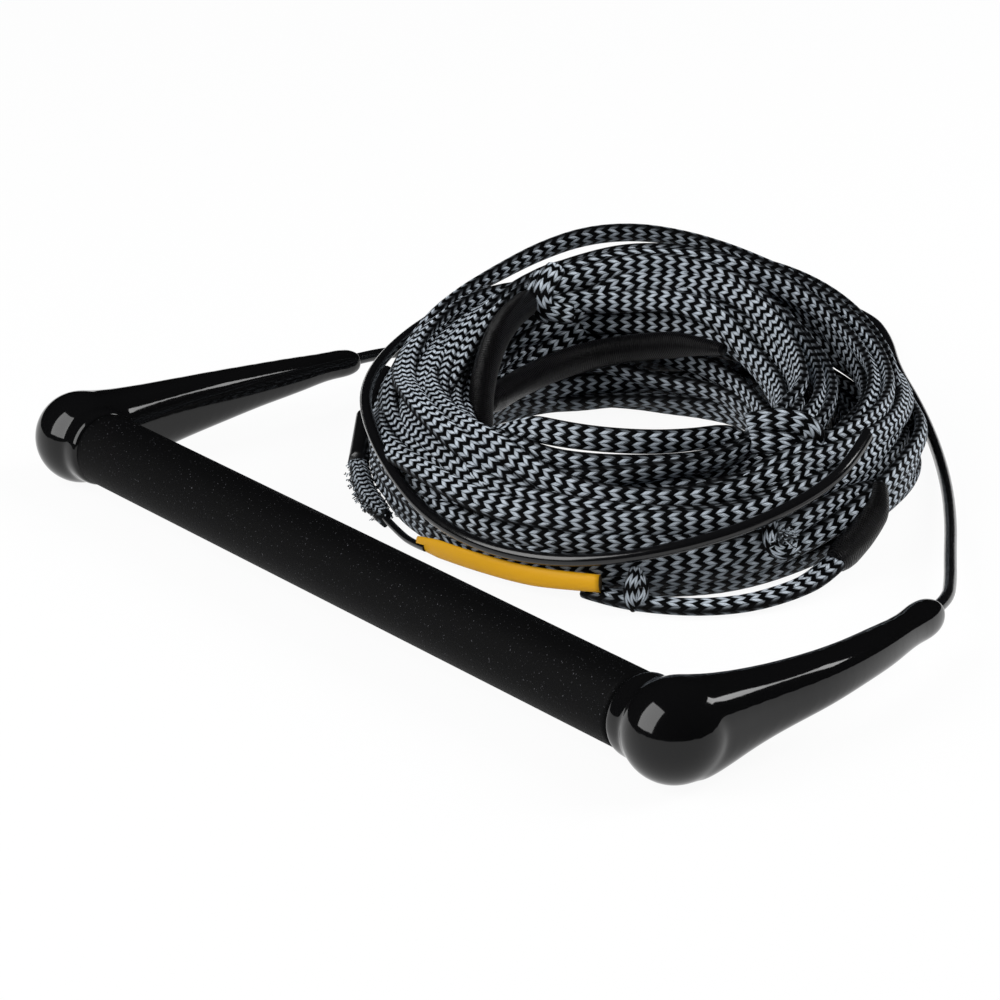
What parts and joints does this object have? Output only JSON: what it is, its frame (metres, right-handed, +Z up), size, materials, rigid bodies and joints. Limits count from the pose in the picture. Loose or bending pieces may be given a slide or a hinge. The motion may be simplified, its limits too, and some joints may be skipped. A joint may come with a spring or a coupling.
{
  "type": "tow rope handle",
  "caption": "Tow rope handle: straight gripped bar with moulded arms, bridle, and a loosely coiled braided tow line with looped sections.",
  "frame": {"origin": "on the floor, under the middle of the handle's box (grip bar and its two arms), without the rope", "axes": "+X along the grip bar from the left cap to the right cap, +Y from the bar towards the coil, +Z up"},
  "size_m": [0.46, 0.4108, 0.0695],
  "materials": {
    "tube_aluminium": "satin drawn tube",
    "grip_foam": "closed-cell foam",
    "grip_skin": "matte suede-feel",
    "plug_nylon": "natural nylon",
    "cap_gloss_black": "high gloss",
    "coated_line": "satin coated line",
    "yoke_rubber": "moulded rubber",
    "rope_braid": "herringbone braid, black and blue-grey",
    "thread_wrap": "tight thread wrap",
    "shrink_tube": "shrink tube",
    "whipping_thread": "frayed whipping",
    "tag_vinyl": "folded vinyl"
  },
  "bodies": {
    "root": {"back_hitch": "rope_braid", "bar_core": "tube_aluminium", "bridle_core_line": "coated_line", "bridle_leg_left": "coated_line", "bridle_leg_right": "coated_line", "bridle_yoke": "yoke_rubber", "end_whipping": "whipping_thread", "front_end_knot": "rope_braid", "front_hitch": "rope_braid", "grip_cover": "grip_skin", "grip_foam": "grip_foam", "handle_line": "coated_line", "left_bar_plug": "plug_nylon", "left_end_cap": "cap_gloss_black", "loop_sleeve_back": "thread_wrap", "loop_sleeve_left": "thread_wrap", "loop_sleeve_right": "thread_wrap", "middle_end_knot": "rope_braid", "right_bar_plug": "plug_nylon", "right_end_cap": "cap_gloss_black", "rope_coil": "rope_braid", "shrink_sleeve": "shrink_tube", "stub_line": "coated_line", "tag_sleeve": "tag_vinyl", "tail_line": "coated_line", "tow_eye": "rope_braid"}
  },
  "joints": []
}
